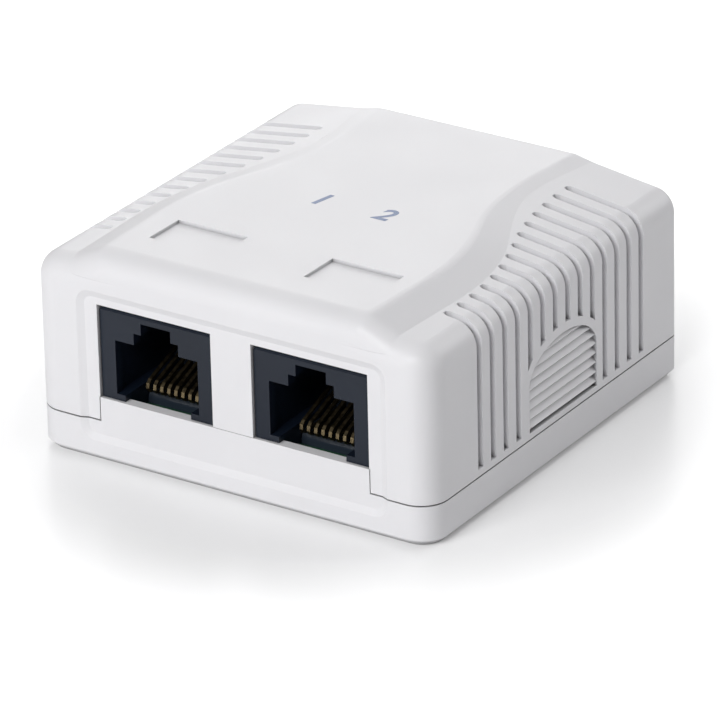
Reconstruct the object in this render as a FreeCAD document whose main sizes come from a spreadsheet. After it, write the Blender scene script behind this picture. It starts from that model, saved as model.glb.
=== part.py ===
import FreeCAD, Part
import Sketcher
import math
import os
import re
from types import SimpleNamespace

# Surface mount jack box with two 8-way modular jacks.
#
# Frame: X to the right along the front, Y into the depth, Z up, origin at the
# middle of the underside. The front panel stands at y = -depth / 2.
# The base is a tray that carries the circuit board with the jacks and the wire
# blocks. The cover slips over the base's upstands and lifts straight off.
# All sizes are millimetres, kept in the spreadsheet and bound by expressions.

V = FreeCAD.Vector

SIZES = {
    # outer form
    "width": 56.6,
    "depth": 56.5,
    "parting_height": 5.4,
    "parting_gap": 0.2,
    "corner_radius": 3.6,
    "back_radius": 1.2,
    "foot_chamfer": 0.9,
    "top_round": 3.0,
    # roof: a tilted plateau between two shoulders that slope outwards
    "roof_height": 27.6,
    "roof_fall": 0.95,
    "shoulder_drop": 2.6,
    "shoulder_rise": 1.4053,
    "shoulder_fall": 0.6,
    "crest_inset_front": 9.7,
    "crest_inset_back": 14.1,
    "flank_front": 4.1,
    "flank_back": 2.6,
    "plateau_root": 3.5,
    "waist_start": 14.0,
    "waist_length": 33.0,
    # walls
    "wall": 1.8,
    "floor_wall": 1.8,
    "ceiling_drop": 5.2,
    "plateau_ceiling_drop": 3.1,
    "cavity_round": 1.4,
    "jack_room": 0.6,
    # slots that wrap over the sides
    "slot_count": 14,
    "slot_first": 10.87,
    "slot_pitch": 2.83,
    "slot_width": 1.15,
    "slot_depth": 0.9,
    "slot_foot": 1.0,
    "slot_inset": 0.8,
    "slot_end_flats": 3,
    "slot_bend_flats": 3,
    # louvred break-out panels in the sides
    "arch_middle": 29.5,
    "arch_width": 15.4,
    "arch_sill": 0.75,
    "arch_spring": 6.6,
    "arch_rise": 4.4,
    "arch_border": 1.15,
    "louvre_count": 8,
    "louvre_depth": 0.6,
    "louvre_peak": 0.47,
    "louvre_sink": 0.05,
    "breakout_groove": 0.6,
    # front panel
    "jack_shift": 0.35,
    "jack_pitch": 22.0,
    "opening_width": 16.3,
    "opening_height": 12.25,
    "sill_height": 8.5,
    "panel_recess": 0.4,
    "panel_slope": 0.9,
    "panel_side": 1.8,
    "panel_head": 0.9,
    "panel_foot": 3.6,
    "panel_round": 1.1,
    "tongue_clearance": 0.12,
    "tongue_wall": 1.4,
    # label recesses above the jacks
    "label_width": 10.0,
    "label_depth": 6.2,
    "label_setback": 7.3,
    "label_recess": 0.4,
    # base
    "rim_wall": 1.2,
    "rim_height": 3.2,
    "rim_clearance": 0.1,
    "rim_side_gap": 5.0,
    "rim_back_gap": 7.0,
    "post_side": 3.6,
    "post_inset": 2.4,
    "boss_radius": 2.4,
    "wall_slot_width": 4.2,
    "wall_slot_length": 8.0,
    "wall_slot_spacing": 34.0,
    "wall_slot_setback": 8.8,
    "cable_hole_width": 15.0,
    "cable_hole_depth": 8.0,
    # circuit board
    "board_width": 44.0,
    "board_depth": 38.5,
    "board_setback": 3.0,
    "board_thickness": 1.6,
    "board_height": 5.0,
    "pin_hole": 0.95,
    # board screws
    "screw_radius": 1.3,
    "screw_length": 4.6,
    "screw_pilot_gap": 0.05,
    "screw_head_radius": 2.3,
    "screw_head_height": 1.4,
    "screw_cross": 2.8,
    "screw_cross_width": 0.6,
    "screw_cross_depth": 0.85,
    "screw_front": 14.2,
    "screw_back": 28.75,
    "screw_clearance": 0.2,
    # jack housing
    "jack_width": 16.0,
    "jack_depth": 17.9,
    "jack_height": 13.75,
    "jack_setback": 0.8,
    "jack_edge": 0.3,
    "plate_thickness": 1.3,
    "socket_width": 11.85,
    "latch_roof": 0.7,
    "socket_height": 7.05,
    "key_width": 6.4,
    "key_height": 1.5,
    "latch_width": 4.26,
    "latch_height": 1.5,
    "cavity_margin": 0.25,
    "ledge_width": 1.2,
    "tongue_gap": 0.15,
    "sill_gap": 0.06,
    "peg_radius": 1.6,
    "peg_length": 3.0,
    "peg_spacing": 11.4,
    "peg_setback": 8.5,
    "peg_clearance": 0.08,
    # contact carrier and contacts
    "carrier_setback": 4.6,
    "carrier_floor": 1.7,
    "carrier_clearance": 0.1,
    "carrier_nose": 1.2,
    "comb_rise": 5.75,
    "carrier_wall_setback": 12.2,
    "contact_pitch": 1.016,
    "contact_width": 0.44,
    "contact_thickness": 0.3,
    "contact_slot": 0.6,
    "contact_front": 3.9,
    "contact_lift": 0.3,
    "contact_bend": 0.8,
    "contact_folds": 4,
    "contact_angle": 20.0,
    "contact_reach": 9.6,
    "tail_setback": 14.3,
    "tail_stagger": 2.0,
    "tail_length": 3.0,
    # wire blocks with fork blades
    "block_ways": 4,
    "way_pitch": 3.9,
    "block_end": 0.9,
    "block_depth": 6.4,
    "block_height": 10.5,
    "block_row_front": 23.0,
    "block_row_pitch": 12.0,
    "way_slot": 1.3,
    "way_slot_depth": 6.0,
    "way_lead": 0.7,
    "blade_width": 2.9,
    "blade_thickness": 0.5,
    "blade_clearance": 0.08,
    "blade_fork": 0.35,
    "blade_drop": 1.6,
    "blade_foot": 0.4,
    "blade_pin": 0.6,
}

doc = FreeCAD.newDocument("JackBox")
sheet = doc.addObject("Spreadsheet::Sheet", "Sizes")
for row, (alias, size) in enumerate(SIZES.items(), start=1):
    sheet.set(f"A{row}", alias.replace("_", " "))
    sheet.set(f"B{row}", str(size))
    sheet.setAlias(f"B{row}", alias)
doc.recompute()
s = SimpleNamespace(**{alias: float(sheet.get(alias)) for alias in SIZES})

# How far a cutting tool reaches past the surface that it opens.
CLEAR = 1.0

# Places that several pieces share, as expressions of the sheet's sizes.
FRONT = "(-depth / 2)"
BACK = "(depth / 2)"
BOARD_TOP = "(board_height + board_thickness)"
COVER_FOOT = "(parting_height + parting_gap / 2)"
BASE_TOP = "(parting_height - parting_gap / 2)"
JACK_FACE = "(-depth / 2 + jack_setback)"
JACK_SIDES = {"left": "(jack_shift - jack_pitch / 2)", "right": "(jack_shift + jack_pitch / 2)"}
CAVITY = "(width / 2 - wall)"
SHOULDER_HEIGHT = "(roof_height - shoulder_drop)"
CEILING = "(roof_height - ceiling_drop)"
PLATEAU_INNER = "(width / 2 - crest_inset_back + flank_back / 2)"
SOCKET_SILL = "(jack_height - latch_roof - cavity_margin - latch_height - key_height - socket_height)"
BLOCK_WIDTH = "(block_ways * way_pitch + 2 * block_end)"
SCREW_PLACES = [f"({FRONT} + screw_front)", f"({FRONT} + screw_back)"]
OPENING_EDGE = {
    "left": "(jack_shift - jack_pitch / 2 - opening_width / 2)",
    "right": "(jack_shift + jack_pitch / 2 + opening_width / 2)",
}
TONGUE_BACK = f"({FRONT} + panel_recess + tongue_wall)"
RIM_OUTER = f"({CAVITY} - rim_clearance)"
RIM_INNER = f"({CAVITY} - rim_clearance - rim_wall)"
RIM_BACK_OUTER = f"({BACK} - wall - rim_clearance)"
RIM_BACK_INNER = f"({BACK} - wall - rim_clearance - rim_wall)"
FLOOR_HOLES_Y = f"({BACK} - wall_slot_setback)"


def bound(text):
    """An expression in the sheet's aliases, with each alias pointed at the sheet."""
    return re.sub(r"[a-z_]+[a-z]", lambda m: f"Sizes.{m[0]}" if m[0] in SIZES else m[0], text)


def bind(thing, prop, text):
    thing.setExpression(prop, bound(text))


def place(thing, x="0", y="0", z="0"):
    for axis, text in zip("xyz", (x, y, z)):
        bind(thing, f"Placement.Base.{axis}", text)
    return thing


def box(name, x, y, z):
    """A block between two expressions along each axis."""
    block = doc.addObject("Part::Box", name)
    for prop, (low, high) in zip(("Length", "Width", "Height"), (x, y, z)):
        bind(block, prop, f"({high}) - ({low})")
    return place(block, x[0], y[0], z[0])


def combine(kind, name, shapes):
    """A MultiFuse or MultiCommon of the shapes."""
    result = doc.addObject(f"Part::{kind}", name)
    result.Shapes = shapes
    return result


def cut(name, base, tool):
    result = doc.addObject("Part::Cut", name)
    result.Base = base
    result.Tool = tool
    return result


def feature(name, shape):
    """A shape made with Part's own functions, for forms that no primitive or sketch fits."""
    thing = doc.addObject("Part::Feature", name)
    thing.Shape = shape
    return thing


def new_body(name):
    body = doc.addObject("PartDesign::Body", name)
    body.Label = name
    return body


def sketch(body, name, plane, outlines=(), circles=(), offset="0"):
    """Closed polygons and circles on one of the body's origin planes, bound to the sheet.

    An outline is a list of (across, up) expressions; a circle is (across, up, radius).
    Lines and circles start as a rough unit figure, which the bound distances then size.
    """
    drawing = body.newObject("Sketcher::SketchObject", name)
    origin = [f for f in body.Origin.OriginFeatures if f.Role == plane][0]
    drawing.AttachmentSupport = [(origin, "")]
    drawing.MapMode = "FlatFace"
    bind(drawing, "AttachmentOffset.Base.z", offset)

    def pin_point(geometry, vertex, across, up):
        for kind, text in (("DistanceX", across), ("DistanceY", up)):
            index = drawing.addConstraint(Sketcher.Constraint(kind, -1, 1, geometry, vertex, 1.0))
            bind(drawing, f"Constraints[{index}]", text)

    for outline in outlines:
        start = drawing.GeometryCount
        count = len(outline)
        angles = [2 * math.pi * k / count for k in range(count + 1)]
        rough = [V(math.cos(a), math.sin(a), 0) for a in angles]
        for k in range(count):
            drawing.addGeometry(Part.LineSegment(rough[k], rough[(k + 1) % count]), False)
        for k in range(count):
            following = start + (k + 1) % count
            drawing.addConstraint(Sketcher.Constraint("Coincident", start + k, 2, following, 1))
        for k, (across, up) in enumerate(outline):
            pin_point(start + k, 1, across, up)
    for across, up, radius in circles:
        ring = drawing.addGeometry(Part.Circle(V(1, 1, 0), V(0, 0, 1), 1.0), False)
        index = drawing.addConstraint(Sketcher.Constraint("Radius", ring, 1.0))
        bind(drawing, f"Constraints[{index}]", radius)
        pin_point(ring, 3, across, up)
    return drawing


def rectangle(x, y):
    return [(x[0], y[0]), (x[1], y[0]), (x[1], y[1]), (x[0], y[1])]


def square(x, y, side):
    return rectangle((f"{x} - {side} / 2", f"{x} + {side} / 2"), (f"{y} - {side} / 2", f"{y} + {side} / 2"))


def hexagon(x, y, radius):
    """Six sides with their corners on a circle."""
    corners = [(math.cos(math.radians(60 * k)), math.sin(math.radians(60 * k))) for k in range(6)]
    return [(f"{x} + {across:.6f} * ({radius})", f"{y} + {up:.6f} * ({radius})") for across, up in corners]


def extrude(body, kind, drawing, length, backwards=False):
    """A Pad or Pocket of a sketch, by default along the sketch's normal for a pad."""
    step = body.newObject(f"PartDesign::{kind}", f"{drawing.Name}_{kind.lower()}")
    step.Profile = drawing
    bind(step, "Length", length)
    step.Reversed = backwards
    doc.recompute()
    return step


def dress(body, kind, base, prop, size, picks):
    """A Fillet or Chamfer on the base's edges that picks() accepts."""
    names = [f"Edge{n}" for n, e in enumerate(base.Shape.Edges, start=1) if picks(e)]
    step = body.newObject(f"PartDesign::{kind}", f"{base.Name}_{kind.lower()}")
    step.Base = (base, names)
    bind(step, prop, size)
    doc.recompute()
    return step


def ends(edge):
    return edge.Vertexes[0].Point, edge.Vertexes[-1].Point


def upright(edge):
    """A straight edge along Z."""
    a, b = ends(edge)
    return len(edge.Vertexes) == 2 and math.hypot(a.x - b.x, a.y - b.y) < 1e-6 and abs(a.z - b.z) > 1e-6


def level(edge, z, tolerance=1e-4):
    """An edge that lies wholly at one height."""
    return all(abs(v.Z - z) < tolerance for v in edge.Vertexes)


def in_front(point):
    return abs(point.y + s.depth / 2) < 1e-4


def at_back(point):
    return abs(point.y - s.depth / 2) < 1e-4


def both(edge, test):
    return all(test(v.Point) for v in edge.Vertexes)


# ---------------------------------------------------------------- circuit board
def jack_pins(x_jack):
    """Places of one jack's eight tails, as (x, y) expressions, in two staggered rows."""
    places = []
    for n in range(8):
        across = f"{x_jack} + ({n} - 3.5) * contact_pitch"
        back = f"{JACK_FACE} + tail_setback + {n % 2} * tail_stagger"
        places.append((across, back))
    return places


def block_row(row):
    return f"({FRONT} + block_row_front + {row} * block_row_pitch)"


def way_places(x_jack, row):
    """Middle of each wire slot of a block, as (x, y) expressions."""
    half = (s.block_ways - 1) / 2
    return [(f"{x_jack} + ({n} - {half}) * way_pitch", block_row(row)) for n in range(int(s.block_ways))]


def make_board():
    body = new_body("circuit_board")
    low_y = f"{FRONT} + board_setback"
    outline = rectangle(
        ("jack_shift - board_width / 2", "jack_shift + board_width / 2"),
        (low_y, f"{low_y} + board_depth"),
    )
    plan = sketch(body, "board_outline", "XY_Plane", [outline], offset="board_height")
    extrude(body, "Pad", plan, "board_thickness")
    screw_holes = [("jack_shift", y, "screw_radius + screw_clearance") for y in SCREW_PLACES]
    peg_holes = []
    for side, x_jack in JACK_SIDES.items():
        for sign in (-1, 1):
            x_peg = f"{x_jack} + {sign} * peg_spacing / 2"
            peg_holes.append(hexagon(x_peg, f"{JACK_FACE} + peg_setback", "peg_radius + peg_clearance"))
        rows = {"pins": jack_pins(x_jack), "front": way_places(x_jack, 0), "rear": way_places(x_jack, 1)}
        for row, places in rows.items():
            squares = [square(x, y, "pin_hole") for x, y in places]
            punch = sketch(body, f"{side}_{row}_holes", "XY_Plane", squares, offset="board_height")
            extrude(body, "Pocket", punch, "board_thickness", backwards=True)
    drill = sketch(body, "fixing_holes", "XY_Plane", peg_holes, screw_holes, "board_height")
    extrude(body, "Pocket", drill, "board_thickness", backwards=True)
    return body


# ------------------------------------------------------------------------ base
def obround(y_middle, length, breadth, x_middle="0"):
    """A slot along X as a rectangle outline and its two end circles."""
    straight = f"({length} - {breadth}) / 2"
    outline = rectangle(
        (f"{x_middle} - {straight}", f"{x_middle} + {straight}"),
        (f"{y_middle} - {breadth} / 2", f"{y_middle} + {breadth} / 2"),
    )
    ends_of_slot = [(f"{x_middle} + {side} * {straight}", y_middle, f"{breadth} / 2") for side in (-1, 1)]
    return outline, ends_of_slot


def make_base_tray():
    body = new_body("base_tray")
    plan = sketch(body, "tray_outline", "XY_Plane", [rectangle(("-width / 2", "width / 2"), (FRONT, BACK))])
    block = extrude(body, "Pad", plan, BASE_TOP)
    front = dress(body, "Fillet", block, "Radius", "corner_radius",
                  lambda e: upright(e) and both(e, in_front))
    back = dress(body, "Fillet", front, "Radius", "back_radius",
                 lambda e: upright(e) and both(e, at_back))
    dress(body, "Chamfer", back, "Size", "foot_chamfer", lambda e: level(e, 0))

    inside = rectangle((f"-{RIM_INNER}", RIM_INNER), (TONGUE_BACK, RIM_BACK_INNER))
    hollow = sketch(body, "tray_hollow", "XY_Plane", [inside], offset=BASE_TOP)
    extrude(body, "Pocket", hollow, f"{BASE_TOP} - floor_wall")

    tongue = rectangle((OPENING_EDGE["left"], OPENING_EDGE["right"]), (FRONT, TONGUE_BACK))
    sill = sketch(body, "sill_tongue", "XY_Plane", [tongue], offset=BASE_TOP)
    extrude(body, "Pad", sill, f"sill_height - {BASE_TOP}")

    side_y = (f"{FRONT} + rim_side_gap", f"{BACK} - rim_side_gap")
    rims = [
        rectangle((f"-{RIM_OUTER}", f"-{RIM_INNER}"), side_y),
        rectangle((RIM_INNER, RIM_OUTER), side_y),
        rectangle(("rim_back_gap - width / 2", "width / 2 - rim_back_gap"), (RIM_BACK_INNER, RIM_BACK_OUTER)),
    ]
    upstands = sketch(body, "upstands", "XY_Plane", rims, offset=BASE_TOP)
    extrude(body, "Pad", upstands, f"parting_height + rim_height - {BASE_TOP}")

    corners_x = [f"jack_shift + {side} * (board_width / 2 - post_inset)" for side in (-1, 1)]
    corners_y = [
        f"{FRONT} + board_setback + post_inset",
        f"{FRONT} + board_setback + board_depth - post_inset",
    ]
    posts = [square(x, y, "post_side") for x in corners_x for y in corners_y]
    bosses = [("jack_shift", y, "boss_radius") for y in SCREW_PLACES]
    columns = sketch(body, "board_posts", "XY_Plane", posts, bosses, offset="floor_wall")
    extrude(body, "Pad", columns, "board_height - floor_wall")
    pilots = [("jack_shift", y, "screw_radius + screw_pilot_gap") for y in SCREW_PLACES]
    drill = sketch(body, "boss_pilots", "XY_Plane", circles=pilots, offset="board_height")
    extrude(body, "Pocket", drill, "board_height - floor_wall")

    slots = [obround(FLOOR_HOLES_Y, "cable_hole_width", "cable_hole_depth")]
    for side in (-1, 1):
        middle = f"({side} * wall_slot_spacing / 2)"
        slots.append(obround(FLOOR_HOLES_Y, "wall_slot_length", "wall_slot_width", middle))
    middles = sketch(body, "floor_slots", "XY_Plane", [slot[0] for slot in slots], offset="floor_wall")
    extrude(body, "Pocket", middles, "floor_wall")
    rounds = [circle for slot in slots for circle in slot[1]]
    round_ends = sketch(body, "floor_slot_ends", "XY_Plane", circles=rounds, offset="floor_wall")
    extrude(body, "Pocket", round_ends, "floor_wall")
    return body


def rounded_frame(x, z, radius, y):
    """A closed wire in an upright plane: a rectangle with round corners."""
    edges = []
    corners = [(x[0], z[0], 180), (x[1], z[0], 270), (x[1], z[1], 0), (x[0], z[1], 90)]
    arcs = []
    for x_corner, z_corner, start in corners:
        middle = V(
            x_corner + (radius if x_corner == x[0] else -radius), y,
            z_corner + (radius if z_corner == z[0] else -radius),
        )
        points = [
            middle + V(radius * math.cos(math.radians(a)), 0, radius * math.sin(math.radians(a)))
            for a in (start, start + 45, start + 90)
        ]
        arcs.append(points)
    for k, points in enumerate(arcs):
        edges.append(Part.Arc(*points).toShape())
        edges.append(Part.makeLine(points[2], arcs[(k + 1) % 4][0]))
    return Part.Wire(edges)


def panel_recess_shape():
    """The shallow dished panel round both sockets, with sloping sides."""
    half = s.jack_pitch / 2 + s.opening_width / 2 + s.panel_side
    x = (s.jack_shift - half, s.jack_shift + half)
    z = (s.panel_foot, s.sill_height + s.opening_height + s.panel_head)
    steps = []
    for out in (0, s.panel_recess + CLEAR):
        grow = out * s.panel_slope / s.panel_recess
        y = -s.depth / 2 + s.panel_recess - out
        frame = rounded_frame((x[0] - grow, x[1] + grow), (z[0] - grow, z[1] + grow), s.panel_round + grow, y)
        steps.append(frame)
    return Part.makeLoft(steps, True, True)


# ----------------------------------------------------------------------- cover
SHOULDER_TAN = s.shoulder_rise / s.crest_inset_front
CREST_FRONT = s.width / 2 - s.crest_inset_front
CREST_BACK = s.width / 2 - s.crest_inset_back
SHOULDER_INNER = CREST_BACK + s.flank_back / 2


def along(y):
    """How far back a place is, from 0 at the front to 1 at the back."""
    return y / s.depth + 0.5


def roof_z(y):
    return s.roof_height - s.roof_fall * along(y)


def shoulder_z(x, y):
    rim_z = s.roof_height - s.shoulder_drop - s.shoulder_fall * along(y)
    return rim_z + SHOULDER_TAN * (s.width / 2 - abs(x))


def waist(front_x, back_x, mirror=1):
    """The waisted outline of one side in plan: straight, two reversed arcs, straight."""
    start = -s.depth / 2 + s.waist_start
    span = s.waist_length
    step = front_x - back_x
    radius = (span * span + step * step) / (4 * step)
    half_angle = math.asin(span / 2 / radius) / 2
    quarter = V(front_x - radius * (1 - math.cos(half_angle)), start + radius * math.sin(half_angle), 0)
    middle = V((front_x + back_x) / 2, start + span / 2, 0)
    opposite = V(front_x + back_x - quarter.x, 2 * start + span - quarter.y, 0)
    points = [
        V(front_x, -s.depth / 2 - CLEAR, 0), V(front_x, start, 0), quarter, middle, opposite,
        V(back_x, start + span, 0), V(back_x, s.depth / 2 + CLEAR, 0),
    ]
    return [V(mirror * p.x, p.y, 0) for p in points]


def waisted_wire(front_x, back_x, z):
    """The plan of the plateau at one height, longer than the cover at both ends."""
    right = waist(front_x, back_x)
    left = waist(front_x, back_x, -1)
    edges = []
    for side in (right, left):
        edges.append(Part.makeLine(side[0], side[1]))
        edges.append(Part.Arc(side[1], side[2], side[3]).toShape())
        edges.append(Part.Arc(side[3], side[4], side[5]).toShape())
        edges.append(Part.makeLine(side[5], side[6]))
    edges.append(Part.makeLine(left[0], right[0]))
    edges.append(Part.makeLine(left[6], right[6]))
    wire = Part.Wire(Part.__sortEdges__(edges))
    wire.translate(V(0, 0, z))
    return wire


def flank_x(crest, flank, y, z):
    """Where the flank's slope, carried on in a straight line, meets a height."""
    foot_z = shoulder_z(crest + flank, y)
    return crest + flank * (roof_z(y) - z) / (roof_z(y) - foot_z)


def plateau_shape():
    """A block with the sloping roof, kept within the two waisted flanks."""
    front_y, back_y = -s.depth / 2, s.depth / 2
    root_z = s.roof_height - s.plateau_root
    wires = []
    for z in (root_z, s.roof_height + CLEAR):
        front_x = flank_x(CREST_FRONT, s.flank_front, front_y, z)
        back_x = flank_x(CREST_BACK, s.flank_back, back_y, z)
        wires.append(waisted_wire(front_x, back_x, z))
    corners = [
        V(-s.width, front_y, root_z), V(-s.width, back_y, root_z),
        V(-s.width, back_y, roof_z(back_y)), V(-s.width, front_y, roof_z(front_y)),
    ]
    block = Part.Face(Part.makePolygon(corners + corners[:1])).extrude(V(2 * s.width, 0, 0))
    return Part.makeLoft(wires, True, True).common(block)


def on_roof(point):
    return abs(point.z - roof_z(point.y)) < 1e-3


def at_root(point):
    return abs(point.z - s.roof_height + s.plateau_root) < 1e-4


def make_plateau():
    """The raised middle: its crests and front edge rounded alike, its back edge less."""
    body = new_body("plateau")
    body.BaseFeature = feature("plateau_blank", plateau_shape())
    doc.recompute()

    def crest(edge):
        return both(edge, on_roof) and not both(edge, in_front) and not both(edge, at_back)

    def front_rim(edge):
        return both(edge, in_front) and not both(edge, at_root)

    def back_rim(edge):
        return both(edge, at_back) and not both(edge, at_root)

    rounded = dress(body, "Fillet", body.Tip, "Radius", "top_round", lambda e: crest(e) or front_rim(e))
    dress(body, "Fillet", rounded, "Radius", "back_radius", back_rim)
    return body


def on_shoulder(point):
    return abs(point.z - shoulder_z(point.x, point.y)) < 1e-3


def make_shoulder():
    """The right shoulder: a block, planed off along a slope that falls to the side and the back."""
    body = new_body("shoulder")
    plan = sketch(body, "shoulder_plan", "XY_Plane", [rectangle((PLATEAU_INNER, "width / 2"), (FRONT, BACK))],
                  offset=COVER_FOOT)
    extrude(body, "Pad", plan, f"roof_height - {COVER_FOOT}")
    slope = "(shoulder_rise / crest_inset_front)"
    low_x, high_x = f"({PLATEAU_INNER} - {CLEAR})", f"(width / 2 + {CLEAR})"
    above = [
        (low_x, f"{SHOULDER_HEIGHT} + {slope} * (width / 2 - {low_x})"),
        (high_x, f"{SHOULDER_HEIGHT} - {slope} * {CLEAR}"),
        (high_x, f"roof_height + {CLEAR}"),
        (low_x, f"roof_height + {CLEAR}"),
    ]
    waste = sketch(body, "above_shoulder", "XZ_Plane", [above], offset="depth / 2")
    planed = extrude(body, "Pocket", waste, "depth")
    planed.UseCustomVector = True
    planed.Direction = V(0, s.depth, -s.shoulder_fall)
    doc.recompute()

    def inboard(edge):
        return both(edge, lambda p: abs(p.x - SHOULDER_INNER) < 1e-4)

    def outer_corner(edge):
        return upright(edge) and both(edge, in_front) and ends(edge)[0].x > s.width / 2 - 1e-4

    def roof_rim(edge):
        return both(edge, on_shoulder) and not inboard(edge) and not both(edge, at_back)

    def back_rim(edge):
        foot = level(edge, s.parting_height + s.parting_gap / 2)
        return both(edge, at_back) and not inboard(edge) and not foot

    corner = dress(body, "Fillet", planed, "Radius", "corner_radius", outer_corner)
    rim = dress(body, "Fillet", corner, "Radius", "top_round", roof_rim)
    dress(body, "Fillet", rim, "Radius", "back_radius", back_rim)
    return body


def make_cavity():
    """The room inside: higher under the plateau, and over the jacks."""
    body = new_body("cover_cavity")
    low, high = f"({FRONT} + wall)", f"({BACK} - wall)"
    plan = sketch(body, "cavity_plan", "XY_Plane", [rectangle((f"-{CAVITY}", CAVITY), (low, high))],
                  offset=BASE_TOP)
    main = extrude(body, "Pad", plan, f"{CEILING} - {BASE_TOP}")
    dress(body, "Fillet", main, "Radius", "cavity_round", upright)
    half = "(jack_pitch / 2 + jack_width / 2 + jack_room)"
    raised = {
        "plateau_room": rectangle((f"-{PLATEAU_INNER}", PLATEAU_INNER), (low, high)),
        "jack_room": rectangle((f"jack_shift - {half}", f"jack_shift + {half}"),
                               (low, f"{JACK_FACE} + jack_depth + jack_room")),
    }
    for name, outline in raised.items():
        extrude(body, "Pad", sketch(body, name, "XY_Plane", [outline], offset=CEILING),
                "ceiling_drop - plateau_ceiling_drop")
    return body


def waist_x(front_x, back_x, y):
    """The waisted outline's half width at one place."""
    start, span, step = -s.depth / 2 + s.waist_start, s.waist_length, front_x - back_x
    radius = (span * span + step * step) / (4 * step)
    run = min(max(y - start, 0), span)
    if run < span / 2:
        return front_x - radius + math.sqrt(radius ** 2 - run ** 2)
    return back_x + radius - math.sqrt(radius ** 2 - (span - run) ** 2)


def arch_face(grow, x):
    """The break-out arch, grown outwards, as an upright face across X."""
    half = s.arch_width / 2 + grow
    middle = -s.depth / 2 + s.arch_middle
    sill = s.parting_height + s.parting_gap / 2 + s.arch_sill - grow
    spring = s.parting_height + s.arch_spring
    top = s.arch_rise + grow
    arch = Part.Ellipse(V(x, middle, spring), max(half, top), min(half, top))
    arch.Axis = V(1, 0, 0)
    arch.XAxis = V(0, 1, 0) if half >= top else V(0, 0, 1)
    first, last = V(x, middle + half, spring), V(x, middle - half, spring)
    crown = V(x, middle, spring + top)
    curve = [
        Part.Edge(arch, arch.parameter(first), arch.parameter(crown)),
        Part.Edge(arch, arch.parameter(crown), arch.parameter(last)),
    ]
    feet = [V(x, middle - half, sill), V(x, middle + half, sill)]
    sides = [Part.makeLine(last, feet[0]), Part.makeLine(feet[0], feet[1]), Part.makeLine(feet[1], first)]
    return Part.Face(Part.Wire(Part.__sortEdges__(curve + sides)))


def slot_shape(y, arch_border):
    """One slot of the right side: up the wall, round the rim and in over the shoulder."""
    floor_x = s.width / 2 - s.slot_depth
    half = s.slot_width / 2
    foot = s.parting_height + s.slot_foot
    flank_foot = waist_x(CREST_FRONT + s.flank_front, CREST_BACK + s.flank_back, y)
    inner = flank_foot + s.slot_inset + half
    bend = s.top_round - s.slot_depth
    tilt = math.atan(SHOULDER_TAN)
    turn = math.pi / 2 - tilt
    bend_foot = shoulder_z(floor_x, y) - s.slot_depth - bend * math.tan(turn / 2)
    steps = [turn * k / s.slot_bend_flats for k in range(int(s.slot_bend_flats) + 1)]
    rim = [V(floor_x - bend * (1 - math.cos(a)), y, bend_foot + bend * math.sin(a)) for a in steps]
    inner_floor = shoulder_z(inner, y) - s.slot_depth
    top = s.roof_height + CLEAR
    outer = s.width / 2 + CLEAR
    rest = [V(inner, y, inner_floor), V(inner, y, top), V(outer, y, top), V(outer, y, foot)]
    profile = [V(floor_x, y, foot)] + rim + rest
    strip = Part.Face(Part.makePolygon(profile + profile[:1]))
    strip.translate(V(0, -half, 0))
    strip = strip.extrude(V(0, s.slot_width, 0))
    rounding = [math.radians(90 + 180 * k / s.slot_end_flats) for k in range(int(s.slot_end_flats) + 1)]
    end = [V(inner + half * math.cos(a), y + half * math.sin(a), inner_floor) for a in rounding]
    inner_end = Part.Face(Part.makePolygon(end + end[:1])).extrude(V(0, 0, top - inner_floor))
    return strip.fuse(inner_end).removeSplitter().cut(arch_border)


def louvre_shape():
    """What the louvres leave open: teeth across the arch, deep below and flush on top."""
    sill = s.parting_height + s.parting_gap / 2 + s.arch_sill
    crown = s.parting_height + s.arch_spring + s.arch_rise
    pitch = (crown - sill) / s.louvre_count
    deep = s.width / 2 - s.louvre_depth
    flush = s.width / 2 - s.louvre_sink
    outer = s.width / 2 + CLEAR
    points = [V(outer, 0, sill), V(deep, 0, sill)]
    for tooth in range(int(s.louvre_count)):
        points.append(V(flush, 0, sill + (tooth + s.louvre_peak) * pitch))
        points.append(V(deep, 0, sill + (tooth + 1) * pitch))
    points += [V(outer, 0, crown), points[0]]
    teeth = Part.Face(Part.makePolygon(points))
    teeth.translate(V(0, -s.depth / 2, 0))
    teeth = teeth.extrude(V(0, s.depth, 0))
    return arch_face(0, deep - CLEAR).extrude(V(s.louvre_depth + 2 * CLEAR, 0, 0)).common(teeth)


def groove_shape():
    """The thinning groove round the arch on the inside of the wall."""
    inside = s.width / 2 - s.wall
    reach = V(CLEAR + s.breakout_groove, 0, 0)
    outer = arch_face(0, inside - CLEAR).extrude(reach)
    inner = arch_face(-s.breakout_groove, inside - CLEAR).extrude(reach)
    return outer.cut(inner)


def mirrored(name, source):
    other = doc.addObject("Part::Mirroring", name)
    other.Source = source
    other.Normal = V(1, 0, 0)
    return other


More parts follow.
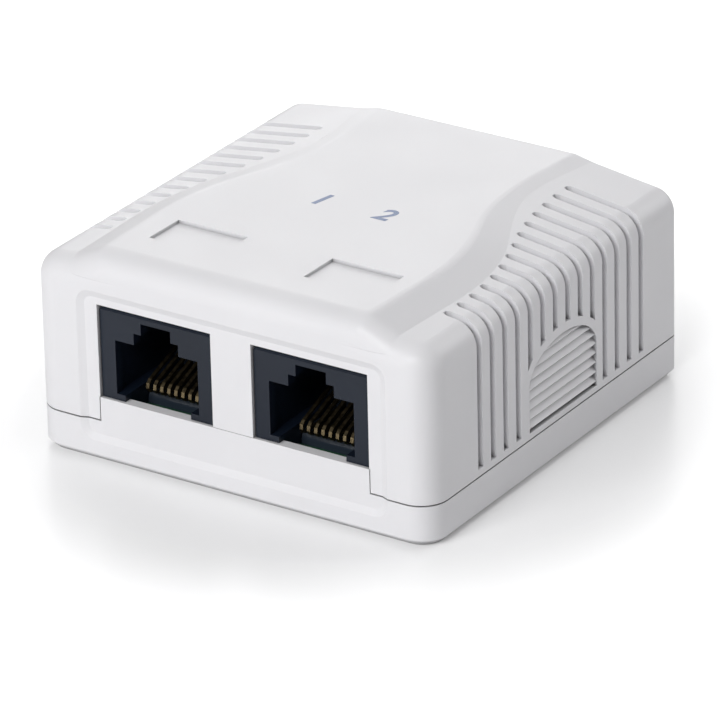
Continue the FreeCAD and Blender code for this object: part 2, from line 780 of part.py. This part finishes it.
def make_cover(panel_recess):
    shoulder = make_shoulder()
    stem = box("plateau_stem", (f"-{PLATEAU_INNER}", PLATEAU_INNER), (FRONT, BACK),
               (COVER_FOOT, "roof_height - plateau_root"))
    outside = combine("MultiFuse", "cover_outside",
                      [make_plateau(), stem, shoulder, mirrored("shoulder_left", shoulder)])
    outside.Refine = True
    hollow = cut("cover_hollow", outside, make_cavity())

    through_front = (f"{FRONT} - {CLEAR}", f"{FRONT} + wall + {CLEAR}")
    label_floor = "roof_height - roof_fall * label_setback / depth - label_recess"
    roof_angle = math.degrees(math.atan(s.roof_fall / s.depth))
    opened = []
    for side, x_jack in JACK_SIDES.items():
        half = "opening_width / 2"
        opened.append(box(f"opening_{side}", (f"{x_jack} - {half}", f"{x_jack} + {half}"),
                          through_front, ("sill_height", "sill_height + opening_height")))
        label = box(f"label_{side}", (f"{x_jack} - label_width / 2", f"{x_jack} + label_width / 2"),
                    (f"{FRONT} + label_setback", f"{FRONT} + label_setback + label_depth"),
                    (label_floor, f"roof_height + {CLEAR}"))
        label.Placement.Rotation = FreeCAD.Rotation(V(1, 0, 0), -roof_angle)
        opened.append(label)
    notch_x = (f"{OPENING_EDGE['left']} - tongue_clearance", f"{OPENING_EDGE['right']} + tongue_clearance")
    notch_z = (f"{COVER_FOOT} - {CLEAR}", "sill_height + sill_gap")
    opened += [box("tongue_notch", notch_x, through_front, notch_z), panel_recess]

    wall_piece = V(s.slot_depth + 2 * CLEAR, 0, 0)
    arch_border = arch_face(s.arch_border, s.width / 2 - s.slot_depth - CLEAR).extrude(wall_piece)
    cuts = [louvre_shape(), groove_shape()]
    for n in range(int(s.slot_count)):
        cuts.append(slot_shape(-s.depth / 2 + s.slot_first + n * s.slot_pitch, arch_border))
    side_cuts = feature("side_cuts", Part.makeCompound(cuts))
    opened += [side_cuts, mirrored("side_cuts_left", side_cuts)]
    tools = doc.addObject("Part::Compound", "cover_cuts")
    tools.Links = opened
    return cut("cover", hollow, tools)


# ----------------------------------------------------------------------- jacks
def seat(body, x_jack):
    """Sets a piece drawn from its jack's face and the board's top in its place."""
    return place(body, x_jack, JACK_FACE, BOARD_TOP)


def make_housing(side, x_jack):
    body = new_body(f"jack_housing_{side}")
    outline = rectangle(("-jack_width / 2", "jack_width / 2"), ("0", "jack_depth"))
    block = extrude(body, "Pad", sketch(body, f"housing_plan_{side}", "XY_Plane", [outline]), "jack_height")
    dress(body, "Chamfer", block, "Size", "jack_edge", lambda e: level(e, s.jack_height))

    shelf = f"({SOCKET_SILL} + socket_height)"
    socket = [
        ("-socket_width / 2", SOCKET_SILL), ("socket_width / 2", SOCKET_SILL),
        ("socket_width / 2", shelf), ("key_width / 2", shelf),
        ("key_width / 2", f"{shelf} + key_height"), ("latch_width / 2", f"{shelf} + key_height"),
        ("latch_width / 2", f"{shelf} + key_height + latch_height"),
        ("-latch_width / 2", f"{shelf} + key_height + latch_height"),
        ("-latch_width / 2", f"{shelf} + key_height"), ("-key_width / 2", f"{shelf} + key_height"),
        ("-key_width / 2", shelf), ("-socket_width / 2", shelf),
    ]
    mouth = sketch(body, f"socket_mouth_{side}", "XZ_Plane", [socket])
    extrude(body, "Pocket", mouth, "plate_thickness")

    wide = "(socket_width / 2 + cavity_margin)"
    lane = "(key_width / 2 + cavity_margin)"
    roof = f"({shelf} + cavity_margin)"
    high = f"({shelf} + key_height + latch_height + cavity_margin)"
    hollow = [
        (f"-{wide}", SOCKET_SILL), (wide, SOCKET_SILL), (wide, roof), (lane, roof),
        (lane, high), (f"-{lane}", high), (f"-{lane}", roof), (f"-{wide}", roof),
    ]
    inside = sketch(body, f"socket_inside_{side}", "XZ_Plane", [hollow], offset="-plate_thickness")
    extrude(body, "Pocket", inside, "jack_depth - plate_thickness")

    gap = "(socket_width / 2 - ledge_width)"
    open_floor = rectangle((f"-{gap}", gap), ("0", "jack_depth"))
    under = sketch(body, f"open_bottom_{side}", "XY_Plane", [open_floor])
    extrude(body, "Pocket", under, shelf, backwards=True)

    sill_top = f"(sill_height - {BOARD_TOP} + sill_gap)"
    notch_back = f"({TONGUE_BACK} - {JACK_FACE} + tongue_gap)"
    notch = sketch(body, f"tongue_notch_{side}", "XY_Plane",
                   [rectangle(("-jack_width / 2", "jack_width / 2"), ("0", notch_back))])
    extrude(body, "Pocket", notch, sill_top, backwards=True)

    pegs = [hexagon(f"{sign} * peg_spacing / 2", "peg_setback", "peg_radius") for sign in (-1, 1)]
    feet = sketch(body, f"pegs_{side}", "XY_Plane", pegs)
    extrude(body, "Pad", feet, "peg_length", backwards=True)
    return seat(body, x_jack)


def make_carrier(side, x_jack):
    body = new_body(f"contact_carrier_{side}")
    narrow = "(socket_width / 2 - ledge_width - carrier_clearance)"
    broad = "(socket_width / 2 + cavity_margin - carrier_clearance)"
    low = f"({SOCKET_SILL} + carrier_clearance)"
    top = f"({SOCKET_SILL} + socket_height + cavity_margin - carrier_clearance)"
    end = "(jack_depth - carrier_clearance)"
    floor_plan = sketch(body, f"carrier_floor_{side}", "XY_Plane",
                        [rectangle((f"-{narrow}", narrow), ("carrier_setback", end))])
    tray = extrude(body, "Pad", floor_plan, "carrier_floor")

    def nose(edge):
        return level(edge, s.carrier_floor) and both(edge, lambda p: abs(p.y - s.carrier_setback) < 1e-6)

    dress(body, "Fillet", tray, "Radius", "carrier_nose", nose)
    section = [
        (f"-{narrow}", "0"), (narrow, "0"), (narrow, low), (broad, low),
        (broad, top), (f"-{broad}", top), (f"-{broad}", low), (f"-{narrow}", low),
    ]
    comb = sketch(body, f"comb_{side}", "XZ_Plane", [section], offset="-carrier_wall_setback")
    extrude(body, "Pad", comb, f"{end} - carrier_wall_setback", backwards=True)

    lanes = []
    holes = []
    for n in range(8):
        x = f"({n} - 3.5) * contact_pitch"
        across = (f"{x} - contact_slot / 2", f"{x} + contact_slot / 2")
        lanes.append(rectangle(across, ("carrier_floor", f"{SOCKET_SILL} + comb_rise")))
        y = f"(tail_setback + {n % 2} * tail_stagger)"
        holes.append(square(x, y, "contact_slot"))
    slots = sketch(body, f"comb_slots_{side}", "XZ_Plane", lanes, offset="-carrier_wall_setback")
    extrude(body, "Pocket", slots, "tail_setback + tail_stagger + contact_slot / 2 - carrier_wall_setback")
    drops = sketch(body, f"tail_holes_{side}", "XY_Plane", holes)
    extrude(body, "Pocket", drops, "carrier_floor", backwards=True)
    return seat(body, x_jack)


def bent_strip(points, thickness, width):
    """A flat strip as wide as given along X, folded along a line of (y, z) points."""
    line = [V(0, y, z) for y, z in points]
    runs = [(b - a).normalize() for a, b in zip(line, line[1:])]
    sides = []
    for k, point in enumerate(line):
        before, after = runs[max(k - 1, 0)], runs[min(k, len(runs) - 1)]
        mitre = (before + after).normalize()
        reach = thickness / 2 / mitre.dot(after)
        sides.append((point, V(0, -mitre.z, mitre.y) * reach))
    outline = [point + out for point, out in sides] + [point - out for point, out in reversed(sides)]
    strip = Part.Face(Part.makePolygon(outline + outline[:1]))
    strip.translate(V(-width / 2, 0, 0))
    return strip.extrude(V(width, 0, 0))


def make_contacts(name, x_jack, row):
    """Every other contact of a jack: a tail through the board, a lying run and a sprung finger."""
    low = s.carrier_floor + s.contact_lift + s.contact_thickness / 2
    tail_y = s.tail_setback + row * s.tail_stagger
    line = [(tail_y, -s.tail_length), (tail_y, low), (s.contact_front, low)]
    turn = 180 - s.contact_angle
    folds = int(s.contact_folds)
    for fold in range(1, folds + 1):
        swept = math.radians(turn * fold / folds)
        y = s.contact_front - s.contact_bend * math.sin(swept)
        z = low + s.contact_bend * (1 - math.cos(swept))
        line.append((y, z))
    rise = math.radians(s.contact_angle)
    line.append((y + s.contact_reach * math.cos(rise), z + s.contact_reach * math.sin(rise)))
    contact = bent_strip(line, s.contact_thickness, s.contact_width)
    wires = []
    for n in range(row, 8, 2):
        wire = contact.copy()
        wire.translate(V((n - 3.5) * s.contact_pitch, 0, 0))
        wires.append(wire)
    contacts = feature(f"jack_contacts_{name}", Part.makeCompound(wires))
    return seat(contacts, x_jack)


# ----------------------------------------------------------- wire blocks, screws
def make_block(name, x_jack, row):
    """A four-way block: one wire slot a way along Y, and a pocket across it for its blade."""
    body = new_body(f"wire_block_{name}")
    half = f"({BLOCK_WIDTH} / 2)"
    outline = rectangle((f"-{half}", half), ("-block_depth / 2", "block_depth / 2"))
    block = extrude(body, "Pad", sketch(body, f"block_plan_{name}", "XY_Plane", [outline]), "block_height")
    profiles = []
    pockets = []
    for x, y in way_places("0", row):
        x = x.replace("0 + ", "", 1)
        profiles.append([
            (f"{x} - way_slot / 2", "block_height - way_slot_depth"),
            (f"{x} + way_slot / 2", "block_height - way_slot_depth"),
            (f"{x} + way_slot / 2", "block_height - way_lead"),
            (f"{x} + way_slot / 2 + way_lead", "block_height"),
            (f"{x} - way_slot / 2 - way_lead", "block_height"),
            (f"{x} - way_slot / 2", "block_height - way_lead"),
        ])
        across = "(blade_width / 2 + blade_clearance)"
        through = "(blade_thickness / 2 + blade_clearance)"
        pockets.append(rectangle((f"{x} - {across}", f"{x} + {across}"), (f"-{through}", through)))
    ways = sketch(body, f"ways_{name}", "XZ_Plane", profiles, offset="block_depth / 2")
    extrude(body, "Pocket", ways, "block_depth")
    slots = sketch(body, f"blade_pockets_{name}", "XY_Plane", pockets)
    extrude(body, "Pocket", slots, "block_height", backwards=True)
    return place(body, x_jack, block_row(row), BOARD_TOP)


def make_blades(name, x_jack, row):
    """The fork blades of one block, each on a pin that goes through the board."""
    half, pin, gap = s.blade_width / 2, s.blade_pin / 2, s.blade_fork / 2
    top, foot = s.block_height - s.blade_drop, s.blade_foot
    root = s.block_height - s.way_slot_depth
    lead = s.way_slot / 2
    outline = [
        (-pin, -s.tail_length), (pin, -s.tail_length), (pin, foot), (half, foot), (half, top),
        (lead, top), (gap, top - lead), (gap, root), (-gap, root), (-gap, top - lead),
        (-lead, top), (-half, top), (-half, foot), (-pin, foot),
    ]
    points = [V(x, -s.blade_thickness / 2, z) for x, z in outline]
    blade = Part.Face(Part.makePolygon(points + points[:1])).extrude(V(0, s.blade_thickness, 0))
    count = int(s.block_ways)
    row_of_blades = []
    for n in range(count):
        copy = blade.copy()
        copy.translate(V((n - (count - 1) / 2) * s.way_pitch, 0, 0))
        row_of_blades.append(copy)
    blades = feature(f"block_blades_{name}", Part.makeCompound(row_of_blades))
    return place(blades, x_jack, block_row(row), BOARD_TOP)


def make_screws():
    """Two screws through the board into the bosses, with cross recesses in their heads."""
    shank = Part.makeCylinder(s.screw_radius, s.screw_length, V(0, 0, -s.screw_length))
    head = Part.makeCylinder(s.screw_head_radius, s.screw_head_height)
    screw = shank.fuse(head).removeSplitter()
    floor_z = s.screw_head_height - s.screw_cross_depth
    for length, width in ((s.screw_cross, s.screw_cross_width), (s.screw_cross_width, s.screw_cross)):
        corner = V(-length / 2, -width / 2, floor_z)
        screw = screw.cut(Part.makeBox(length, width, s.screw_head_height, corner))
    copies = []
    for setback in (s.screw_front, s.screw_back):
        copy = screw.copy()
        copy.translate(V(0, setback, 0))
        copies.append(copy)
    screws = feature("board_screws", Part.makeCompound(copies))
    return place(screws, "jack_shift", FRONT, BOARD_TOP)


# -------------------------------------------------------------------- assembly
panel_recess = feature("panel_recess", panel_recess_shape())
nodes = [
    cut("base", make_base_tray(), panel_recess),
    make_cover(panel_recess),
    make_board(),
    make_screws(),
]
for side, x_jack in JACK_SIDES.items():
    nodes += [make_housing(side, x_jack), make_carrier(side, x_jack)]
    nodes += [make_contacts(side, x_jack, 0), make_contacts(f"{side}_rear", x_jack, 1)]
    for row, where in enumerate(("front", "rear")):
        name = f"{side}_{where}"
        nodes += [make_block(name, x_jack, row), make_blades(name, x_jack, row)]
doc.recompute()

failed = [thing.Name for thing in doc.Objects if {"Invalid", "Error"} & set(thing.State)]
failed += [node.Label for node in nodes if node.Shape.isNull() or not node.Shape.isValid()]
if failed:
    raise RuntimeError(f"not rebuilt: {failed}")

os.makedirs("parts", exist_ok=True)
for node in nodes:
    node.Shape.exportStep(f"parts/{node.Label}.step")
    box_of_node = node.Shape.BoundBox
    print(f"{node.Label}: {len(node.Shape.Solids)} solids, {node.Shape.Volume:.1f} mm3, {box_of_node}")
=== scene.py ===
import math

import bpy
from mathutils import Matrix, Vector


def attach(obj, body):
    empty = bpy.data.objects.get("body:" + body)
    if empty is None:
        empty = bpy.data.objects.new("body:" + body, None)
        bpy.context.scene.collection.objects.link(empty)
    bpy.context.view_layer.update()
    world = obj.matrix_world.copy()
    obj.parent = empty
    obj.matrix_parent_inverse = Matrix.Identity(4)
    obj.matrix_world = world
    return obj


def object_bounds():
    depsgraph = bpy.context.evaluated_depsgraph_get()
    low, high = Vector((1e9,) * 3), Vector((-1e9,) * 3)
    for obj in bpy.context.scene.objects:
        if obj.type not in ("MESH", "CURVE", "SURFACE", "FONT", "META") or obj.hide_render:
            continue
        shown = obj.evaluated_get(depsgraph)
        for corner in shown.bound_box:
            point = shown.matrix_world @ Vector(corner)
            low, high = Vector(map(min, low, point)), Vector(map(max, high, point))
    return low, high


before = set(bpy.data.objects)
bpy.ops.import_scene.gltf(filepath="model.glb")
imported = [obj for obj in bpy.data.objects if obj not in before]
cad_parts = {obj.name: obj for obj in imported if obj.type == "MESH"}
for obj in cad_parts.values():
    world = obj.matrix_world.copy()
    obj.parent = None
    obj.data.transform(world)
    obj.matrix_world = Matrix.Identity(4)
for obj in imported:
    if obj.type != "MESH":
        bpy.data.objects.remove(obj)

# The dressed jack box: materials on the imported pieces, the two printed
# numerals that the solids leave out, and a studio set. Units are metres.

CAD_LOW, CAD_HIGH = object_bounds()
MM = 0.001
WHITE = (1, 1, 1, 1)

# Camera, as solved for the view from the front right and above: angles in degrees, lens in mm.
CAMERA_PLACE = Vector((387.3, -584.3, 340.4)) * MM
CAMERA_YAW, CAMERA_PITCH, CAMERA_ROLL = 33.53, 25.47, -1.36
CAMERA_CLIP = (0.05, 20)
LENS, SENSOR = 319.4, 36.0

# How far the painted shade in narrow nooks reaches, on the white mouldings and on the board.
CORNER_SHADE_REACH, BOARD_SHADE_REACH = 0.9 * MM, 2.2 * MM

# Noise scales, in features per metre.
CLOUDS, SHEEN = 60.0, 140.0
MOULD_GRAIN, WHITE_GRAIN, LACQUER_GRAIN = 12000.0, 14000.0, 2500.0
METAL_TARNISH, METAL_SHEEN, METAL_GRAIN = 900.0, 2600.0, 5200.0
INK_DENSITY, INK_SHEEN, FLOOR_CLOUDS = 7000.0, 9000.0, 3.0

# Printed numerals: places on the roof, letter size, slant, extra weight and film thickness.
PRINT_ACROSS, PRINT_LINE = 4.6 * MM, -0.8 * MM
PRINT_SIZE, PRINT_SLANT = 4.6 * MM, 0.2
PRINT_WEIGHT, PRINT_FILM = 0.07 * MM, 0.02 * MM

# The floor: size, gap under the box, and lift to the page's white as (distance from the middle, strength);
# the weak lift near the box is painted shade.
FLOOR_SIZE, FLOOR_GAP = 12, 0.05 * MM
LIFT_NEAR, LIFT_FAR = (36 * MM, 0.14), (60 * MM, 0.50)

# Studio light: the room's strength, the lamps' distance, then each lamp's heading, height, size and power.
ROOM_LIGHT, LAMP_DISTANCE = 0.01, 1.3
LAMPS = {
    "front": (0, 37, (0.9, 0.4), 11.8),
    "front_left": (335, 8, (0.6, 0.3), 2.2),
    "back_right": (150, 26, (1.1, 0.6), 6.5),
    "back_left": (210, 14, (0.6, 0.4), 2.8),
    "back_left_high": (225, 40, (0.9, 0.7), 3.1),
    "overhead": (0, 90, (0.9, 0.9), 1.9),
}


# ------------------------------------------------------------------- materials
def new_material(name):
    """A node material and its Principled shader."""
    material = bpy.data.materials.new(name)
    material.use_nodes = True
    shader = material.node_tree.nodes["Principled BSDF"]
    return material, shader


def node(material, kind, **settings):
    made = material.node_tree.nodes.new(kind)
    for name, value in settings.items():
        setattr(made, name, value)
    return made


def link(material, source, target):
    material.node_tree.links.new(source, target)


def noise(material, scale, detail=2.0):
    """A noise texture in object coordinates."""
    place = node(material, "ShaderNodeTexCoord")
    texture = node(material, "ShaderNodeTexNoise")
    texture.inputs["Scale"].default_value = scale
    texture.inputs["Detail"].default_value = detail
    link(material, place.outputs["Object"], texture.inputs["Vector"])
    return texture.outputs["Fac"]


def remap(material, value, before, after, **settings):
    """Maps the range before to the range after, and holds it at both ends."""
    ranged = node(material, "ShaderNodeMapRange", **settings)
    ranged.inputs["From Min"].default_value, ranged.inputs["From Max"].default_value = before
    ranged.inputs["To Min"].default_value, ranged.inputs["To Max"].default_value = after
    link(material, value, ranged.inputs["Value"])
    return ranged.outputs["Result"]


def spread(material, value, low, high):
    """Maps the middle of a noise's range to low..high."""
    return remap(material, value, (0.3, 0.7), (low, high))


def blend_colours(material, factor, first, second):
    mix = node(material, "ShaderNodeMix", data_type="RGBA")
    mix.inputs["A"].default_value = (*first, 1)
    mix.inputs["B"].default_value = (*second, 1)
    link(material, factor, mix.inputs["Factor"])
    return mix.outputs["Result"]


def bump(material, shader, height, strength, distance):
    made = node(material, "ShaderNodeBump")
    made.inputs["Strength"].default_value = strength
    made.inputs["Distance"].default_value = distance
    link(material, height, made.inputs["Height"])
    link(material, made.outputs["Normal"], shader.inputs["Normal"])


def paint_corner_shade(material, tint, reach, strength):
    """Painted shade: darkens a colour in narrow nooks and slots, as far as reach, by ambient occlusion."""
    corner = node(material, "ShaderNodeAmbientOcclusion", samples=8)
    corner.inputs["Distance"].default_value = reach
    shade = remap(material, corner.outputs["AO"], (0.2, 0.85), (1.0 - strength, 1.0))
    scaled = node(material, "ShaderNodeVectorMath", operation="SCALE")
    link(material, tint, scaled.inputs[0])
    link(material, shade, scaled.inputs["Scale"])
    return scaled.outputs["Vector"]


def moulded_plastic(name, light, dark, roughness, grain=MOULD_GRAIN, relief=0.2, specular=0.5,
                    corner_shade=0.0, reach=CORNER_SHADE_REACH):
    """Moulded plastic: a fine spark-eroded grain, colour and gloss that wander a little, and, when asked
    for, painted shade in narrow nooks.
    """
    material, shader = new_material(name)
    tint = blend_colours(material, spread(material, noise(material, CLOUDS, 3.0), 0.0, 1.0), dark, light)
    # Painted shade: the colour is darkened in narrow nooks and slots.
    if corner_shade:
        tint = paint_corner_shade(material, tint, reach, corner_shade)
    link(material, tint, shader.inputs["Base Color"])
    gloss = spread(material, noise(material, SHEEN), roughness * 0.92, roughness * 1.08)
    link(material, gloss, shader.inputs["Roughness"])
    shader.inputs["Specular IOR Level"].default_value = specular
    bump(material, shader, noise(material, grain, 1.0), relief, 0.02 * MM)
    return material


def white_abs(name):
    """White moulding, a little translucent, with painted shade in its slots, recesses and joints."""
    # Painted shade at strength 0.6 darkens the white in narrow nooks, slots and seams.
    material = moulded_plastic(name, (0.836, 0.831, 0.853), (0.820, 0.815, 0.838), 0.40, WHITE_GRAIN,
                               specular=0.32, corner_shade=0.6)
    shader = material.node_tree.nodes["Principled BSDF"]
    shader.inputs["Subsurface Weight"].default_value = 0.06
    shader.inputs["Subsurface Radius"].default_value = (1.0, 0.9, 0.85)
    shader.inputs["Subsurface Scale"].default_value = 0.6 * MM
    return material


def metal(name, light, dark, roughness):
    """Stamped metal: a patchy tarnish and a fine grain."""
    material, shader = new_material(name)
    tint = blend_colours(material, spread(material, noise(material, METAL_TARNISH), 0.0, 1.0), dark, light)
    link(material, tint, shader.inputs["Base Color"])
    shader.inputs["Metallic"].default_value = 1.0
    gloss = spread(material, noise(material, METAL_SHEEN), roughness * 0.8, roughness * 1.3)
    link(material, gloss, shader.inputs["Roughness"])
    bump(material, shader, noise(material, METAL_GRAIN), 0.15, 0.01 * MM)
    return material


def dress_nodes():
    """Gives every CAD node the material that goes with the start of its name."""
    jack = moulded_plastic("jack_plastic", (0.008, 0.013, 0.025), (0.005, 0.009, 0.018), 0.38, specular=0.3)
    carrier = moulded_plastic("carrier_plastic", (0.022, 0.031, 0.045), (0.017, 0.025, 0.037), 0.3)
    block = moulded_plastic("block_plastic", (0.74, 0.74, 0.72), (0.70, 0.70, 0.68), 0.4)
    # The board's colour carries strong painted shade, reaching far from the parts that stand on it.
    lacquer = moulded_plastic("solder_mask", (0.015, 0.105, 0.044), (0.010, 0.080, 0.034), 0.3,
                              LACQUER_GRAIN, 0.1, corner_shade=0.85, reach=BOARD_SHADE_REACH)
    dressing = {
        "cover": white_abs("white_cover"),
        "base": white_abs("white_base"),
        "circuit_board": lacquer,
        "board_screws": metal("screw_zinc", (0.68, 0.69, 0.70), (0.56, 0.57, 0.58), 0.3),
        "jack_housing": jack,
        "contact_carrier": carrier,
        # The contacts are coloured far darker than gold plating: painted shade of the sockets' dark inside.
        "jack_contacts": metal("contact_gold", (0.16, 0.125, 0.07), (0.11, 0.085, 0.05), 0.4),
        "wire_block": block,
        "block_blades": metal("blade_tin", (0.78, 0.78, 0.76), (0.66, 0.66, 0.65), 0.28),
    }
    for name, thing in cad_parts.items():
        kind = next(start for start in dressing if name.startswith(start))
        thing.data.materials.clear()
        thing.data.materials.append(dressing[kind])


# ---------------------------------------------------------------------- prints
def print_ink(name):
    """Pad-printed ink, laid on a little unevenly."""
    material, shader = new_material(name)
    density = spread(material, noise(material, INK_DENSITY, 3.0), 0.0, 1.0)
    link(material, blend_colours(material, density, (0.18, 0.235, 0.40), (0.26, 0.32, 0.48)),
         shader.inputs["Base Color"])
    link(material, spread(material, noise(material, INK_SHEEN), 0.42, 0.55), shader.inputs["Roughness"])
    return material


def roof_height(x, y):
    """Where a vertical ray from above meets the cover."""
    above, down = Vector((x, y, 2 * CAD_HIGH[2])), Vector((0, 0, -1))
    found, place, _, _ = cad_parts["cover"].ray_cast(above, down)
    return place.z if found else CAD_HIGH[2]


def print_numeral(text, x, y, material):
    """A printed numeral: a film of ink that follows the roof, its underside sunk into the cover."""
    letters = bpy.data.curves.new("numeral_" + text, "FONT")
    letters.body = text
    letters.size = PRINT_SIZE
    letters.shear = PRINT_SLANT
    letters.offset = PRINT_WEIGHT
    letters.align_x = letters.align_y = "CENTER"
    letters.extrude = PRINT_FILM
    letters.resolution_u = 8
    pattern = bpy.data.objects.new("pattern_" + text, letters)
    mesh = bpy.data.meshes.new_from_object(pattern)
    bpy.data.objects.remove(pattern)
    for vertex in mesh.vertices:
        across, along, rise = vertex.co
        roof = roof_height(x + across, y + along)
        vertex.co = (x + across, y + along, roof + rise + 0.3 * PRINT_FILM)
    mesh.materials.clear()
    mesh.materials.append(material)
    numeral = bpy.data.objects.new("numeral_" + text, mesh)
    bpy.context.scene.collection.objects.link(numeral)
    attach(numeral, "cover")


def number_ports():
    """Plain numbers for the ports, where such boxes carry their print."""
    ink = print_ink("print_ink")
    print_numeral("1", -PRINT_ACROSS, PRINT_LINE, ink)
    print_numeral("2", PRINT_ACROSS, PRINT_LINE, ink)


# ------------------------------------------------------------------ studio set
def glow_with_painted_shade_near_box(material):
    """The floor's lift: small beside the box, which paints shade around it, and full about a box's length
    from its middle.
    """
    place = node(material, "ShaderNodeTexCoord")
    far = node(material, "ShaderNodeVectorMath", operation="LENGTH")
    link(material, place.outputs["Object"], far.inputs[0])
    (near_end, near_lift), (far_end, far_lift) = LIFT_NEAR, LIFT_FAR
    return remap(material, far.outputs["Value"], (near_end, far_end), (near_lift, far_lift),
                 interpolation_type="SMOOTHSTEP")


def floor_material():
    """Pale floor that keeps the shadow; where the camera or a reflection sees it, it is lifted to white,
    less so beside the box, where this paints shade.
    """
    material, shader = new_material("studio_floor")
    shade = spread(material, noise(material, FLOOR_CLOUDS), 0.0, 1.0)
    link(material, blend_colours(material, shade, (0.86, 0.86, 0.865), (0.87, 0.87, 0.875)),
         shader.inputs["Base Color"])
    shader.inputs["Roughness"].default_value = 0.25
    shader.inputs["Specular IOR Level"].default_value = 0.25
    rays = node(material, "ShaderNodeLightPath")
    seen = node(material, "ShaderNodeMath", operation="MAXIMUM")
    link(material, rays.outputs["Is Camera Ray"], seen.inputs[0])
    link(material, rays.outputs["Is Glossy Ray"], seen.inputs[1])
    lift = node(material, "ShaderNodeMath", operation="MULTIPLY")
    link(material, seen.outputs[0], lift.inputs[0])
    link(material, glow_with_painted_shade_near_box(material), lift.inputs[1])
    shader.inputs["Emission Color"].default_value = WHITE
    link(material, lift.outputs[0], shader.inputs["Emission Strength"])
    return material


def make_floor():
    bpy.ops.mesh.primitive_plane_add(size=FLOOR_SIZE, location=(0, 0, -FLOOR_GAP))
    floor = bpy.context.object
    floor.name = "studio_floor"
    floor.data.materials.append(floor_material())


def make_world():
    """A dim, even room; the camera sees its white wall behind the floor."""
    world = bpy.data.worlds.new("studio_world")
    bpy.context.scene.world = world
    world.use_nodes = True
    nodes, links = world.node_tree.nodes, world.node_tree.links
    room = nodes["Background"]
    room.inputs["Color"].default_value = WHITE
    room.inputs["Strength"].default_value = ROOM_LIGHT
    wall = nodes.new("ShaderNodeBackground")
    wall.inputs["Color"].default_value = WHITE
    wall.inputs["Strength"].default_value = 1.0
    rays = nodes.new("ShaderNodeLightPath")
    mix = nodes.new("ShaderNodeMixShader")
    links.new(rays.outputs["Is Camera Ray"], mix.inputs["Fac"])
    links.new(room.outputs["Background"], mix.inputs[1])
    links.new(wall.outputs["Background"], mix.inputs[2])
    links.new(mix.outputs["Shader"], nodes["World Output"].inputs["Surface"])


def direction(heading, height):
    """A unit vector from the box, by heading (0 front, 90 right) and height in degrees."""
    around, above = math.radians(heading), math.radians(height)
    level = math.cos(above)
    return Vector((math.sin(around) * level, -math.cos(around) * level, math.sin(above)))


def soft_box(name, heading, height, size, power):
    """An area lamp that faces the middle of the box, and isn't seen itself."""
    towards = direction(heading, height)
    middle = Vector((0, 0, 0.5 * CAD_HIGH[2]))
    lamp = bpy.data.lights.new(name, "AREA")
    lamp.shape = "RECTANGLE"
    lamp.size, lamp.size_y = size
    lamp.energy = power
    holder = bpy.data.objects.new(name, lamp)
    bpy.context.scene.collection.objects.link(holder)
    holder.location = middle + LAMP_DISTANCE * towards
    holder.visible_camera = False
    holder.rotation_euler = towards.to_track_quat("Z", "Y").to_euler()


def make_camera():
    data = bpy.data.cameras.new("camera")
    data.lens = LENS
    data.sensor_width = SENSOR
    data.clip_start, data.clip_end = CAMERA_CLIP
    camera = bpy.data.objects.new("camera", data)
    bpy.context.scene.collection.objects.link(camera)
    yaw, pitch, roll = (math.radians(angle) for angle in (CAMERA_YAW, CAMERA_PITCH, CAMERA_ROLL))
    level = math.cos(pitch)
    ahead = Vector((-math.sin(yaw) * level, math.cos(yaw) * level, -math.sin(pitch)))
    right = Vector((math.cos(yaw), math.sin(yaw), 0))
    up = right.cross(ahead)
    turned_right = right * math.cos(roll) + up * math.sin(roll)
    turned_up = up * math.cos(roll) - right * math.sin(roll)
    axes = Matrix((turned_right, turned_up, -ahead)).transposed()
    camera.matrix_world = Matrix.Translation(CAMERA_PLACE) @ axes.to_4x4()
    bpy.context.scene.camera = camera


make_camera()
dress_nodes()
make_floor()
make_world()
for lamp_name, settings in LAMPS.items():
    soft_box(lamp_name, *settings)
number_ports()

bpy.context.scene.view_settings.view_transform = "Standard"
bpy.context.view_layer.update()
